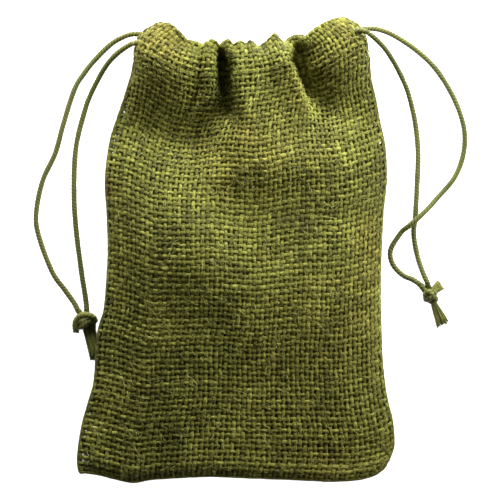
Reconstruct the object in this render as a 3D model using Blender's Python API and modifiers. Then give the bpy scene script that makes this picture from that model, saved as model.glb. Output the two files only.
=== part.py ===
"""A drawstring gift sack of coarse woven jute, lying on its back, partly gathered.

+X is to the right, +Y runs from the bottom of the sack to its mouth, and +Z is up, out of the
front.  The origin is under the middle of the cloth, on the surface that the sack lies on.
Every length is in metres.

The sack is two cloth panels joined along the sides and the bottom.  The top of each panel is
turned over into a hem, a flat sleeve that both drawstrings run through.  Each drawstring goes
in at one corner of the mouth, along the front hem, round the far corner, back along the back
hem and out beside itself, and its two ends are tied together in a knot.
"""
import math

import bmesh
import bpy
from mathutils import Matrix, Vector

# ---- driving dimensions -------------------------------------------------------------------
CLOTH = 0.0009                # thickness of one layer of jute cloth
HEM_CLOTH = 0.0008            # the hem's cloth, pulled tight over the drawstrings
GAP = 0.0003                  # clearance between pieces that touch

FRONT_RIM = 0.0059            # height of the front panel's edge above the floor
BACK_RIM = 0.0034             # height of the back panel's edge above the floor
CROWN = 0.0195                # height of the front panel's middle
FLAT_PART = 0.84              # share of the half width over which the back lies flat
BOTTOM_ROLL = 0.05            # share of the length over which the back rises to the bottom
BELLY_START = 0.32            # share of the length over which the front rises from the bottom
NECK_DROP = 0.12              # how much lower the front is where it meets the hem

PANEL_TOP = 0.905             # share of the length where the panels end and the hems start
HEM_WIDTH = 0.0118            # hem, measured along Y
HEM_HEIGHT = 0.0068           # hem, measured along Z
BACK_HEM_Z = 0.0037           # middle of the back hem
FRONT_HEM_Z = 0.0109          # middle of the front hem at the two corners of the mouth
MOUTH_LIFT = 0.0052           # how much higher the front hem is in the middle of the mouth
HEM_LEFT = -0.0265            # the hems' left end
HEM_RIGHT = 0.0378            # the hems' right end
HEM_MIDDLE = 0.0050           # where the left and right halves of a hem meet

ALLOWANCE_INSET = 0.0019      # the seam allowance starts this far inside the sack's edge
ALLOWANCE_WIDTH = 0.0052
ALLOWANCE_THICK = 0.0016      # two layers of cloth
ALLOWANCE_Z = 0.0056          # its upper face

CORD_RADIUS = 0.00090         # waxed cotton cord
THREAD_RADIUS = 0.00025
STITCH = 0.0044               # length of one stitch
STITCH_WAVE = 0.0002          # how far a stitch rises and falls

# ---- the flat outline, each edge a smooth curve through these points ------------------------
LEFT_EDGE = [(-0.0516, -0.0726), (-0.0508, -0.0589), (-0.0466, -0.0420), (-0.0459, -0.0320),
             (-0.0453, -0.0250), (-0.0432, -0.0200), (-0.0419, 0.0000), (-0.0428, 0.0220),
             (-0.0386, 0.0440), (-0.0339, 0.0600), (-0.0336, 0.0670)]
RIGHT_EDGE = [(0.0482, -0.0718), (0.0516, -0.0640), (0.0504, -0.0520), (0.0479, -0.0350),
              (0.0473, -0.0130), (0.0484, 0.0140), (0.0492, 0.0280), (0.0455, 0.0500),
              (0.0438, 0.0600), (0.0433, 0.0690)]
BOTTOM_EDGE = [(-0.0516, -0.0726), (-0.0455, -0.0736), (-0.0350, -0.0761), (-0.0266, -0.0751),
               (-0.0095, -0.0742), (0.0150, -0.0753), (0.0340, -0.0760), (0.0425, -0.0749),
               (0.0482, -0.0718)]
TOP_EDGE = [(-0.0336, 0.0670), (-0.0295, 0.0728), (-0.0249, 0.0746), (-0.0210, 0.0726),
            (-0.0165, 0.0690), (-0.0033, 0.0685), (0.0080, 0.0684), (0.0210, 0.0694),
            (0.0271, 0.0726), (0.0349, 0.0762), (0.0400, 0.0740), (0.0433, 0.0690)]

# ---- the drawstrings' routes ------------------------------------------------------------------
LEFT_FRONT_STRAND = [
    (-0.0345, 0.0672, 0.0096), (-0.0376, 0.0652, 0.0085), (-0.0407, 0.0625, 0.0068),
    (-0.0434, 0.0590, 0.0049), (-0.0459, 0.0546, 0.0034), (-0.0478, 0.0508, 0.0022),
    (-0.0495, 0.0464, 0.0014), (-0.0522, 0.0360, 0.0010), (-0.0531, 0.0271, 0.0010),
    (-0.0532, 0.0167, 0.0010), (-0.0528, 0.0098, 0.0010), (-0.0522, 0.0036, 0.0010),
    (-0.0507, -0.0078, 0.0010), (-0.0494, -0.0160, 0.0013), (-0.0490, -0.0197, 0.0019)]
LEFT_BACK_STRAND = [
    (-0.0313, 0.0709, 0.0026), (-0.0354, 0.0705, 0.0021), (-0.0407, 0.0679, 0.0013),
    (-0.0459, 0.0630, 0.0010), (-0.0501, 0.0578, 0.0010), (-0.0532, 0.0525, 0.0010),
    (-0.0568, 0.0411, 0.0010), (-0.0594, 0.0317, 0.0010), (-0.0635, 0.0228, 0.0010),
    (-0.0656, 0.0124, 0.0010), (-0.0649, 0.0051, 0.0010), (-0.0605, -0.0069, 0.0010),
    (-0.0562, -0.0131, 0.0010), (-0.0533, -0.0172, 0.0013), (-0.0519, -0.0199, 0.0019)]
RIGHT_FRONT_STRAND = [
    (0.0427, 0.0712, 0.0118), (0.0458, 0.0688, 0.0107), (0.0489, 0.0656, 0.0086),
    (0.0510, 0.0626, 0.0067), (0.0530, 0.0593, 0.0048), (0.0550, 0.0553, 0.0032),
    (0.0567, 0.0510, 0.0018), (0.0588, 0.0422, 0.0010), (0.0598, 0.0322, 0.0010),
    (0.0595, 0.0219, 0.0010), (0.0589, 0.0111, 0.0010), (0.0584, 0.0052, 0.0010),
    (0.0595, -0.0015, 0.0010), (0.0612, -0.0069, 0.0013), (0.0628, -0.0107, 0.0019)]
RIGHT_BACK_STRAND = [
    (0.0419, 0.0724, 0.0048), (0.0458, 0.0725, 0.0038), (0.0515, 0.0706, 0.0018),
    (0.0593, 0.0656, 0.0010), (0.0661, 0.0589, 0.0010), (0.0718, 0.0494, 0.0010),
    (0.0749, 0.0400, 0.0010), (0.0747, 0.0317, 0.0010), (0.0718, 0.0239, 0.0010),
    (0.0661, 0.0171, 0.0015), (0.0627, 0.0133, 0.0027), (0.0593, 0.0101, 0.0033),
    (0.0565, 0.0077, 0.0027), (0.0541, 0.0056, 0.0015), (0.0508, 0.0000, 0.0010),
    (0.0515, -0.0046, 0.0010), (0.0546, -0.0081, 0.0010), (0.0578, -0.0096, 0.0013),
    (0.0604, -0.0113, 0.0019)]
LEFT_INNER_LOOP = [
    (-0.0341, 0.0675, 0.0097), (-0.0300, 0.0682, 0.0098), (-0.0250, 0.0680, 0.0102),
    (-0.0160, 0.0635, 0.0123), (-0.0040, 0.0620, 0.0144), (0.0080, 0.0620, 0.0150),
    (0.0200, 0.0629, 0.0140), (0.0290, 0.0662, 0.0121), (0.0360, 0.0674, 0.0106),
    (0.0392, 0.0673, 0.0099), (0.0415, 0.0680, 0.0080), (0.0421, 0.0693, 0.0056),
    (0.0408, 0.0705, 0.0035), (0.0380, 0.0708, 0.0026), (0.0300, 0.0686, 0.0026),
    (0.0200, 0.0650, 0.0026), (0.0080, 0.0640, 0.0026), (-0.0040, 0.0640, 0.0026),
    (-0.0160, 0.0652, 0.0026), (-0.0240, 0.0694, 0.0026), (-0.0309, 0.0709, 0.0026)]
RIGHT_INNER_LOOP = [
    (0.0423, 0.0715, 0.0119), (0.0390, 0.0722, 0.0120), (0.0350, 0.0712, 0.0125),
    (0.0280, 0.0668, 0.0142), (0.0200, 0.0640, 0.0157), (0.0080, 0.0622, 0.0171),
    (-0.0040, 0.0620, 0.0167), (-0.0160, 0.0620, 0.0146), (-0.0240, 0.0662, 0.0128),
    (-0.0274, 0.0665, 0.0119), (-0.0300, 0.0662, 0.0119), (-0.0318, 0.0652, 0.0109),
    (-0.0326, 0.0636, 0.0088), (-0.0319, 0.0628, 0.0064), (-0.0300, 0.0632, 0.0050),
    (-0.0274, 0.0650, 0.0047), (-0.0230, 0.0662, 0.0048), (-0.0160, 0.0630, 0.0048),
    (-0.0040, 0.0622, 0.0048), (0.0080, 0.0622, 0.0048), (0.0200, 0.0640, 0.0048),
    (0.0280, 0.0680, 0.0048), (0.0350, 0.0712, 0.0048), (0.0415, 0.0724, 0.0048)]

# ---- curves ----------------------------------------------------------------------------------


def smooth_curve(points, count):
    """Count points, evenly spaced along a smooth curve through the given ones."""
    knots = [Vector(p) for p in points]
    first = knots[0] * 2 - knots[1]
    last = knots[-1] * 2 - knots[-2]
    knots = [first] + knots + [last]
    fine = []
    steps = 24
    for a, b, c, d in zip(knots, knots[1:], knots[2:], knots[3:]):
        for step in range(steps):
            t = step / steps
            fine.append(0.5 * ((b * 2) + (c - a) * t + (a * 2 - b * 5 + c * 4 - d) * t * t
                               + (b * 3 - a - c * 3 + d) * t ** 3))
    fine.append(knots[-2])
    travelled = [0.0]
    for a, b in zip(fine, fine[1:]):
        travelled.append(travelled[-1] + (b - a).length)
    even = []
    segment = 0
    for index in range(count):
        wanted = travelled[-1] * index / (count - 1)
        while segment < len(fine) - 2 and travelled[segment + 1] < wanted:
            segment += 1
        span = travelled[segment + 1] - travelled[segment]
        even.append(fine[segment].lerp(fine[segment + 1], (wanted - travelled[segment]) / span))
    return even


def curve_length(points):
    """Length of the smooth curve through the points."""
    fine = smooth_curve(points, 200)
    return sum((b - a).length for a, b in zip(fine, fine[1:]))


EDGE_POINTS = 201
LEFT = smooth_curve(LEFT_EDGE, EDGE_POINTS)
RIGHT = smooth_curve(RIGHT_EDGE, EDGE_POINTS)
BOTTOM = smooth_curve(BOTTOM_EDGE, EDGE_POINTS)
TOP = smooth_curve(TOP_EDGE, EDGE_POINTS)


def along(edge, share):
    """The point at a share, 0 to 1, of an edge's length."""
    place = min(max(share, 0.0), 1.0) * (len(edge) - 1)
    index = min(int(place), len(edge) - 2)
    return edge[index].lerp(edge[index + 1], place - index)


def cloth_point(u, v):
    """Plan position of the cloth: u is 0 at the left side and 1 at the right, v is 0 at the
    bottom and 1 at the mouth.  It is the surface patch that the four edges bound."""
    sides = along(LEFT, v).lerp(along(RIGHT, v), u)
    ends = along(BOTTOM, u).lerp(along(TOP, u), v)
    corners = BOTTOM[0].lerp(BOTTOM[-1], u).lerp(TOP[0].lerp(TOP[-1], u), v)
    return sides + ends - corners


def top_edge_y(x):
    """Height along Y of the mouth's top edge at x."""
    for a, b in zip(TOP, TOP[1:]):
        if a.x <= x <= b.x:
            return a.y + (b.y - a.y) * (x - a.x) / (b.x - a.x)
    return TOP[0].y if x < TOP[0].x else TOP[-1].y


# ---- heights ------------------------------------------------------------------------------------


def front_height(u, v):
    """Height of the front panel's outer face, crowned like a pillow."""
    side = abs(2 * u - 1)
    across = (1 - side ** 2.4) ** 0.62
    rise = min(v / BELLY_START, 1.0)
    lengthwise = (1 - (1 - rise) ** 2.2) ** 0.62
    neck = 1 - NECK_DROP * min(max((v - 0.6) / 0.3, 0.0), 1.0) ** 2
    return FRONT_RIM + (CROWN - FRONT_RIM) * across * lengthwise * neck


def back_height(u, v):
    """Height of the back panel's outer face: flat, and turned up along the sides and bottom."""
    side = max((abs(2 * u - 1) - FLAT_PART) / (1 - FLAT_PART), 0.0)
    low = max((BOTTOM_ROLL - v) / BOTTOM_ROLL, 0.0)
    return BACK_RIM * min(math.hypot(side, low), 1.0) ** 2


def front_hem_height(x):
    """Height of the middle of the front hem, which lifts off the back hem between corners."""
    share = min(max((x - HEM_LEFT) / (HEM_RIGHT - HEM_LEFT), 0.0), 1.0)
    return FRONT_HEM_Z + MOUTH_LIFT * math.sin(math.pi * share)


# ---- builders -----------------------------------------------------------------------------------


def collection(name):
    made = bpy.data.collections.new(name)
    bpy.context.scene.collection.children.link(made)
    return made


def material(name, colour, roughness):
    made = bpy.data.materials.new(name)
    made.use_nodes = True
    shader = made.node_tree.nodes["Principled BSDF"]
    shader.inputs["Base Color"].default_value = (*colour, 1.0)
    shader.inputs["Roughness"].default_value = roughness
    shader.inputs["Metallic"].default_value = 0.0
    return made


def surface_object(name, rows, closed_rows, finish):
    """An open surface through rows of points, each row closed on itself if closed_rows is set."""
    mesh = bpy.data.meshes.new(name)
    made = bmesh.new()
    grid = [[made.verts.new(point) for point in row] for row in rows]
    for lower, upper in zip(grid, grid[1:]):
        columns = len(lower) if closed_rows else len(lower) - 1
        for column in range(columns):
            after = (column + 1) % len(lower)
            made.faces.new((lower[column], lower[after], upper[after], upper[column]))
    made.to_mesh(mesh)
    made.free()
    mesh.shade_smooth()
    thing = bpy.data.objects.new(name, mesh)
    thing.data.materials.append(finish)
    SACK.objects.link(thing)
    return thing


def thicken(thing, thickness, offset=-1.0):
    solidify = thing.modifiers.new("thickness", "SOLIDIFY")
    solidify.thickness = thickness
    solidify.offset = offset
    return thing


def tube(name, route, radius, spacing, finish, sides=2):
    """A round tube along the smooth curve through the route's points."""
    count = max(int(round(curve_length(route) / spacing)) + 1, 4)
    curve = bpy.data.curves.new(name, "CURVE")
    curve.dimensions = "3D"
    curve.bevel_depth = radius
    curve.bevel_resolution = sides
    curve.use_fill_caps = True
    spline = curve.splines.new("POLY")
    points = smooth_curve(route, count)
    spline.points.add(len(points) - 1)
    for place, point in zip(spline.points, points):
        place.co = (*point, 1.0)
    thing = bpy.data.objects.new(name, curve)
    thing.data.materials.append(finish)
    SACK.objects.link(thing)
    return thing


def spread(count):
    """Shares from 0 to 1 that lie closer together towards both ends."""
    shares = []
    for index in range(count + 1):
        t = 2 * index / count - 1
        shares.append(0.5 + 0.5 * (0.55 * t + 0.45 * math.sin(math.pi / 2 * t)))
    return shares


# ---- the cloth ------------------------------------------------------------------------------------
PANEL_COLUMNS = 20
PANEL_ROWS = 26
HEM_SECTIONS = 9
HEM_RING = 14
HEM_SQUARENESS = 0.66         # 1 gives an oval section, less gives a rounded rectangle
HEM_STITCH_CLEAR = 0.0010     # the hem's stitches lie this far below its lower edge
HEM_STITCH_END = 0.0012       # and stop this far from its ends


def build_panel(name, height, faces_up):
    """One panel, from the bottom of the sack to the hem."""
    rows = []
    for index in range(PANEL_ROWS + 1):
        t = index / PANEL_ROWS
        v = PANEL_TOP * (0.35 * t * t + 0.65 * t)
        row = []
        for u in spread(PANEL_COLUMNS):
            plan = cloth_point(u, v)
            row.append((plan.x, plan.y, height(u, v)))
        rows.append(row if faces_up else row[::-1])
    return thicken(surface_object(name, rows, False, JUTE), CLOTH)


def build_hem(name, start, end, height):
    """Half of one hem: a flat sleeve of cloth, open at both ends."""
    rows = []
    for index in range(HEM_SECTIONS + 1):
        x = start + (end - start) * index / HEM_SECTIONS
        middle_y = top_edge_y(x) - HEM_WIDTH / 2
        middle_z = height(x)
        row = []
        for corner in range(HEM_RING):
            angle = 2 * math.pi * corner / HEM_RING
            reach = math.copysign(abs(math.cos(angle)) ** HEM_SQUARENESS, math.cos(angle))
            rise = math.copysign(abs(math.sin(angle)) ** HEM_SQUARENESS, math.sin(angle))
            row.append((x, middle_y + HEM_WIDTH / 2 * reach, middle_z + HEM_HEIGHT / 2 * rise))
        rows.append(row)
    return thicken(surface_object(name, rows, True, JUTE), HEM_CLOTH)


def build_allowance(name, edge_u, inward):
    """The cloth left outside a side seam, turned to the inside of the sack."""
    rows = []
    count = 24
    for index in range(count + 1):
        v = 0.045 + (0.880 - 0.045) * index / count
        edge = cloth_point(edge_u, v)
        near = edge.x + inward * ALLOWANCE_INSET
        far = near + inward * ALLOWANCE_WIDTH
        row = [(near, edge.y, ALLOWANCE_Z), (far, edge.y, ALLOWANCE_Z)]
        rows.append(row if inward > 0 else row[::-1])
    return thicken(surface_object(name, rows, False, JUTE), ALLOWANCE_THICK)


def build_thread(name, places):
    """A row of stitches: a thread that rises and falls along the given places."""
    length = curve_length(places)
    count = int(length / STITCH) * 2 + 1
    line = smooth_curve(places, count)
    waves = []
    for index, point in enumerate(line):
        lift = STITCH_WAVE if index % 2 else -STITCH_WAVE
        waves.append((point.x, point.y, point.z + lift))
    return tube(name, waves, THREAD_RADIUS, STITCH / 2, THREAD, sides=0)


def build_seam_thread(name, edge_u, inward):
    """The side seam's stitches, on the seam allowance."""
    height = ALLOWANCE_Z + GAP + STITCH_WAVE + THREAD_RADIUS
    places = []
    for index in range(13):
        edge = cloth_point(edge_u, 0.055 + (0.870 - 0.055) * index / 12)
        x = edge.x + inward * (ALLOWANCE_INSET + 0.25 * ALLOWANCE_WIDTH)
        places.append((x, edge.y, height))
    return build_thread(name, places)


def build_hem_thread(name, start, end, height):
    """The stitches that hold the hem down, along its lower edge."""
    places = []
    for index in range(7):
        x = start + (end - start) * index / 6
        places.append((x, top_edge_y(x) - HEM_WIDTH - HEM_STITCH_CLEAR, height(x)))
    return build_thread(name, places)


def build_cloth():
    build_panel("front_panel", front_height, True)
    build_panel("back_panel", back_height, False)
    build_allowance("left_seam_allowance", 0.0, 1)
    build_allowance("right_seam_allowance", 1.0, -1)
    build_seam_thread("left_seam_thread", 0.0, 1)
    build_seam_thread("right_seam_thread", 1.0, -1)


def build_mouth():
    def back(x):
        return BACK_HEM_Z

    halves = {"left": (HEM_LEFT, HEM_MIDDLE - GAP / 2), "right": (HEM_MIDDLE + GAP / 2, HEM_RIGHT)}
    for side, (start, end) in halves.items():
        first, last = start + HEM_STITCH_END, end - HEM_STITCH_END
        build_hem("front_hem_" + side, start, end, front_hem_height)
        build_hem("back_hem_" + side, start, end, back)
        build_hem_thread("front_hem_thread_" + side, first, last, front_hem_height)
        build_hem_thread("back_hem_thread_" + side, first, last, back)


# ---- the drawstrings -----------------------------------------------------------------------------
STRAND_SPACING = 0.0048
LOOP_SPACING = 0.0040
KNOT_LOBES = 0.10             # how far the wraps stand out of the knot, as a share of its size


def build_knot(name, centre, radii):
    """The outer shape of a knot: a lumpy ball."""
    mesh = bpy.data.meshes.new(name)
    made = bmesh.new()
    bmesh.ops.create_uvsphere(made, u_segments=16, v_segments=10, radius=1.0)
    for vert in made.verts:
        angle = math.atan2(vert.co.y, vert.co.x)
        level = math.hypot(vert.co.x, vert.co.y)
        swell = 1 - KNOT_LOBES * (0.5 - 0.5 * math.cos(3 * angle + 2 * vert.co.z)) * level
        vert.co = Vector((vert.co.x * radii[0], vert.co.y * radii[1], vert.co.z * radii[2])) * swell
    made.to_mesh(mesh)
    made.free()
    mesh.shade_smooth()
    thing = bpy.data.objects.new(name, mesh)
    thing.data.materials.append(CORD)
    thing.location = centre
    SACK.objects.link(thing)


def build_end(name, start, end, start_width, end_width, thickness):
    """A cut end of cord, spread flat: a cone squashed onto the surface it lies on."""
    mesh = bpy.data.meshes.new(name)
    made = bmesh.new()
    way = Vector(end) - Vector(start)
    bmesh.ops.create_cone(made, cap_ends=True, segments=12, radius1=start_width / 2,
                          radius2=end_width / 2, depth=way.length)
    turn = Matrix.Rotation(math.pi / 2, 4, "Y")
    heading = Matrix.Rotation(math.atan2(way.y, way.x), 4, "Z")
    slope = Matrix.Rotation(-math.atan2(way.z, math.hypot(way.x, way.y)), 4, "Y")
    for vert in made.verts:
        vert.co = turn @ vert.co
        width = start_width + (end_width - start_width) * (vert.co.x / way.length + 0.5)
        vert.co.z *= thickness / width
        vert.co = heading @ slope @ vert.co
    made.to_mesh(mesh)
    made.free()
    thing = bpy.data.objects.new(name, mesh)
    thing.data.materials.append(CORD)
    thing.location = (Vector(start) + Vector(end)) / 2
    SACK.objects.link(thing)


def build_left_drawstring():
    tube("left_inner_loop", LEFT_INNER_LOOP, CORD_RADIUS, LOOP_SPACING, CORD)
    tube("left_front_strand", LEFT_FRONT_STRAND, CORD_RADIUS, STRAND_SPACING, CORD)
    tube("left_back_strand", LEFT_BACK_STRAND, CORD_RADIUS, STRAND_SPACING, CORD)
    build_knot("left_knot", (-0.0499, -0.0236, 0.0025), (0.0036, 0.0034, 0.0024))
    build_end("left_tail", (-0.0496, -0.0274, 0.0014), (-0.0470, -0.0322, 0.0009),
              0.0034, 0.0046, 0.0013)
    build_end("left_stub", (-0.0527, -0.0259, 0.0022), (-0.0539, -0.0271, 0.0018),
              0.0019, 0.0023, 0.0019)


def build_right_drawstring():
    tube("right_inner_loop", RIGHT_INNER_LOOP, CORD_RADIUS, LOOP_SPACING, CORD)
    tube("right_front_strand", RIGHT_FRONT_STRAND, CORD_RADIUS, STRAND_SPACING, CORD)
    tube("right_back_strand", RIGHT_BACK_STRAND, CORD_RADIUS, STRAND_SPACING, CORD)
    build_knot("right_knot", (0.0636, -0.0143, 0.0025), (0.0027, 0.0029, 0.0024))
    build_end("right_tail", (0.0647, -0.0176, 0.0013), (0.0677, -0.0236, 0.0012),
              0.0019, 0.0041, 0.0016)
    build_end("right_stub", (0.0660, -0.0127, 0.0024), (0.0675, -0.0113, 0.0022),
              0.0028, 0.0040, 0.0020)


for old in list(bpy.data.objects):
    bpy.data.objects.remove(old)
SACK = collection("fabric_gift_sack")
JUTE = material("jute", (0.176, 0.182, 0.036), 0.95)
THREAD = material("thread", (0.210, 0.220, 0.060), 0.90)
CORD = material("cord", (0.140, 0.165, 0.028), 0.60)
build_cloth()
build_mouth()
build_left_drawstring()
build_right_drawstring()
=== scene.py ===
"""A small drawstring gift sack of coarse olive-green jute, lying on a white table, seen from
straight above.

The cloth is real woven geometry: every warp and weft is a yarn that goes over and under the
ones it crosses, laid on a surface that follows the sack's outline, its crown and the folds of
its gathered mouth.  The cloth's lengths are in millimetres until a mesh is made.  The cords'
routes, the camera and the lights are in metres.
"""

import math

import bpy
import numpy as np
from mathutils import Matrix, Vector


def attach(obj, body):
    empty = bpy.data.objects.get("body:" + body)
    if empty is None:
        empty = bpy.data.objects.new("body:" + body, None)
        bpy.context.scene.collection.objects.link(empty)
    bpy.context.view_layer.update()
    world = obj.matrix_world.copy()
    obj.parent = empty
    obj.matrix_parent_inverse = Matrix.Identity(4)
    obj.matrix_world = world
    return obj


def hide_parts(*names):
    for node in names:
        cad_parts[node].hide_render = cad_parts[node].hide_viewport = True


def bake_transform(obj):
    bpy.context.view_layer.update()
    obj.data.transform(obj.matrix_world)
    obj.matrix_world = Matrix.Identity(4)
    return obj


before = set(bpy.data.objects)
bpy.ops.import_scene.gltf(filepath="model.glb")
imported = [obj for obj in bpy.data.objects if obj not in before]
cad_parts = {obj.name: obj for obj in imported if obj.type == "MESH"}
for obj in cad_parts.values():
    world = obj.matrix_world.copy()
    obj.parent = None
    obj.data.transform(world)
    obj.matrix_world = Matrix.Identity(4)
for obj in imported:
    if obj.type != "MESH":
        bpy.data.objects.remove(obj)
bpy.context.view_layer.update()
MM = 0.001
RANDOM = np.random.default_rng(7)

# ---- the camera -----------------------------------------------------------------------------
VIEW_WIDTH = 0.1635           # of the picture, at the height of the cloth
VIEW_MIDDLE = 0.00458         # x of the picture's middle
CAMERA_HEIGHT = 1.6
CLOTH_HEIGHT = 0.008
SENSOR = 36.0
camera = bpy.data.objects.new("camera", bpy.data.cameras.new("camera"))
bpy.context.scene.collection.objects.link(camera)
bpy.context.scene.camera = camera
camera.location = (VIEW_MIDDLE, 0.0, CAMERA_HEIGHT)
camera.data.sensor_width = SENSOR
camera.data.lens = SENSOR * (CAMERA_HEIGHT - CLOTH_HEIGHT) / VIEW_WIDTH
camera.data.clip_start, camera.data.clip_end = 0.05, 10.0

# ---- the outline of the sack, lying flat, in millimetres ------------------------------------
LEFT_EDGE = [(-51.4, -72.6), (-51.6, -67.4), (-50.5, -58.9), (-48.4, -51.0), (-46.6, -45.0),
             (-45.8, -38.6), (-45.6, -32.5), (-44.9, -26.0), (-43.0, -20.0), (-42.1, -10.0),
             (-41.6, 0.0), (-42.0, 13.0), (-42.5, 24.0), (-40.9, 36.0), (-38.3, 44.1),
             (-35.7, 52.0), (-33.5, 59.8), (-33.2, 65.8), (-31.2, 71.2), (-25.6, 74.4)]
RIGHT_EDGE = [(48.8, -70.8), (51.2, -65.7), (51.5, -61.5), (50.9, -55.3), (49.1, -48.0),
              (47.8, -37.5), (47.3, -26.1), (47.0, -13.1), (47.3, 0.0), (48.1, 14.1),
              (49.0, 22.5), (48.6, 33.4), (47.0, 41.2), (45.5, 49.4), (43.9, 56.7),
              (43.5, 63.5), (42.7, 70.0), (40.3, 73.9), (35.6, 76.2)]
BOTTOM_EDGE = [(-51.4, -72.6), (-45.5, -73.3), (-35.4, -75.7), (-31.8, -75.7), (-26.6, -74.8),
               (-9.5, -73.9), (4.6, -74.4), (20.0, -75.0), (32.7, -75.5), (41.1, -74.8),
               (46.0, -73.2), (48.8, -70.8)]
NECK_EDGE = [(-25.6, 74.4), (-15.0, 68.0), (-2.0, 65.5), (12.0, 66.0), (22.0, 69.0),
             (35.6, 76.2)]

# the front cloth where it's gathered, at the hem's seam and at the top fold: share of the
# cloth's width, then x, y, z
HEM_LINE = [
    (0.000, -33.1, 66.0, 5.0), (0.030, -32.8, 65.4, 8.6), (0.070, -30.2, 64.2, 12.8),
    (0.120, -25.0, 62.6, 14.3), (0.170, -18.6, 60.8, 13.9), (0.208, -13.4, 59.6, 12.2),
    (0.238, -11.7, 59.2, 10.8), (0.262, -10.7, 59.0, 11.8), (0.288, -8.8, 58.6, 12.4),
    (0.312, -7.2, 58.0, 11.0), (0.345, -6.0, 57.2, 5.8), (0.385, -4.0, 56.6, 2.6),
    (0.420, -2.0, 57.0, 6.6), (0.450, 0.1, 57.6, 12.0), (0.500, 3.8, 58.4, 13.8),
    (0.560, 8.6, 59.4, 14.8), (0.620, 13.8, 60.6, 16.2), (0.655, 17.0, 61.4, 15.8),
    (0.678, 17.5, 61.0, 10.4), (0.703, 17.2, 60.0, 4.8), (0.730, 18.6, 59.2, 2.8),
    (0.765, 21.6, 59.0, 4.2), (0.810, 25.6, 60.2, 8.6), (0.860, 30.8, 62.8, 12.8),
    (0.910, 36.2, 65.4, 13.4), (0.960, 40.9, 67.4, 11.6), (0.985, 42.7, 68.0, 8.6),
    (1.000, 43.1, 68.3, 5.0)]
TOP_LINE = [
    (0.000, -25.6, 74.4, 7.0), (0.060, -22.6, 73.2, 10.0), (0.120, -19.4, 70.6, 11.2),
    (0.175, -16.5, 67.6, 10.6), (0.208, -14.2, 67.2, 10.0), (0.238, -12.1, 66.6, 9.4),
    (0.262, -10.8, 67.4, 10.2), (0.288, -9.0, 68.0, 11.4), (0.312, -6.9, 67.0, 10.4),
    (0.345, -6.1, 66.0, 8.4), (0.385, -5.7, 65.4, 7.2), (0.420, -5.1, 66.4, 8.4),
    (0.450, -3.0, 67.6, 10.4), (0.480, -0.6, 66.6, 9.8), (0.500, 1.3, 67.5, 10.4),
    (0.518, 2.8, 66.8, 9.8), (0.540, 4.7, 67.7, 10.6), (0.568, 7.3, 66.2, 10.2),
    (0.600, 10.4, 68.0, 11.2), (0.625, 12.9, 70.0, 12.0), (0.640, 14.6, 68.2, 11.6),
    (0.655, 16.4, 67.0, 11.0), (0.690, 17.2, 67.2, 9.4), (0.730, 18.6, 68.4, 9.0),
    (0.770, 20.8, 68.2, 9.8), (0.810, 22.9, 68.4, 10.4), (0.860, 26.4, 71.4, 11.2),
    (0.930, 31.4, 74.6, 10.8), (1.000, 35.6, 76.2, 7.0)]
HEM_V = 0.930                 # share of the cloth's length where the hem line runs
GATHER_START = 0.76           # where the gathers begin to show
RIM = 5.0                     # height of the seam between front and back
LEFT_BULGE = (0.30, 0.50)     # shares of the width over which the left heights fade to the middle
RIGHT_BULGE = (0.50, 0.88)    # and the middle's to the right
# height of the front from bottom to mouth: share of the length, then left, middle and right
PILLOW = [(0.000, 5.0, 5.0, 5.0), (0.018, 6.6, 6.3, 6.3), (0.045, 7.3, 6.5, 6.5),
          (0.100, 8.6, 7.6, 7.5), (0.200, 11.2, 10.2, 10.0), (0.340, 14.8, 14.8, 14.7),
          (0.430, 17.4, 16.8, 16.7), (0.490, 18.9, 17.0, 17.0), (0.540, 18.6, 16.2, 17.0),
          (0.590, 17.0, 15.2, 17.2), (0.640, 14.6, 15.8, 17.4), (0.690, 11.2, 17.8, 17.2),
          (0.730, 7.2, 18.2, 15.4), (0.760, 5.2, 17.6, 13.0), (0.790, 5.4, 16.6, 10.2),
          (0.820, 6.6, 15.8, 8.6), (0.860, 8.8, 14.8, 8.8), (0.920, 11.0, 13.4, 9.8),
          (1.000, 11.5, 12.0, 10.5)]

# ---- the weave ------------------------------------------------------------------------------
WARPS, WEFTS = 61, 77
SPLIT_WARP = 33               # the left pieces hold this many warps
SPLIT = SPLIT_WARP / WARPS
RINGS = 3                     # rings of a yarn to each one it crosses
WARP_WIDE, WEFT_WIDE = 0.55, 0.63      # half widths
YARN_HIGH = 0.28              # half height
WEAVE_RISE = 0.27             # how far a yarn rises and falls over the others
BACK_CLOSE = 1.18             # how much wider the back's yarns are
OPEN_TOP = 0.12               # how much thinner the yarns are in the upper part of the sack
OPEN_ROWS = (0.60, 0.80)      # shares of the length over which they get thinner
FULL_ROOM = 1.12              # yarns with this share of their width to themselves are uncrowded
FOLD_RADIUS = 1.15            # of the hem's top fold
HEM_DEPTH = 11.0              # of the hem's inner layer
GRID_U, GRID_V = 361, 541     # points across and along the surface that the yarns lie on
STEEP_SHARE = 0.5             # what a rise across the cloth counts for when yarns are spread


def curve(points, shares):
    """Places at the given shares of the length of a smooth curve through the points."""
    knots = np.array(points, float)
    knots = np.vstack([2 * knots[0] - knots[1], knots, 2 * knots[-1] - knots[-2]])
    between = 24
    t = np.linspace(0, 1, between, endpoint=False)[:, None]
    fine = []
    for a, b, c, d in zip(knots, knots[1:], knots[2:], knots[3:]):
        fine.append(0.5 * (2 * b + (c - a) * t + (2 * a - 5 * b + 4 * c - d) * t ** 2
                           + (3 * b - a - 3 * c + d) * t ** 3))
    fine = np.vstack(fine + [knots[-2:-1]])
    run = np.r_[0, np.cumsum(np.linalg.norm(np.diff(fine, axis=0), axis=1))]
    wanted = np.asarray(shares) * run[-1]
    return np.stack([np.interp(wanted, run, fine[:, k]) for k in range(fine.shape[1])], -1)


def curve_length(points):
    """Length of the smooth curve through the points."""
    fine = curve(points, np.linspace(0, 1, 400))
    return float(np.linalg.norm(np.diff(fine, axis=0), axis=1).sum())


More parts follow.
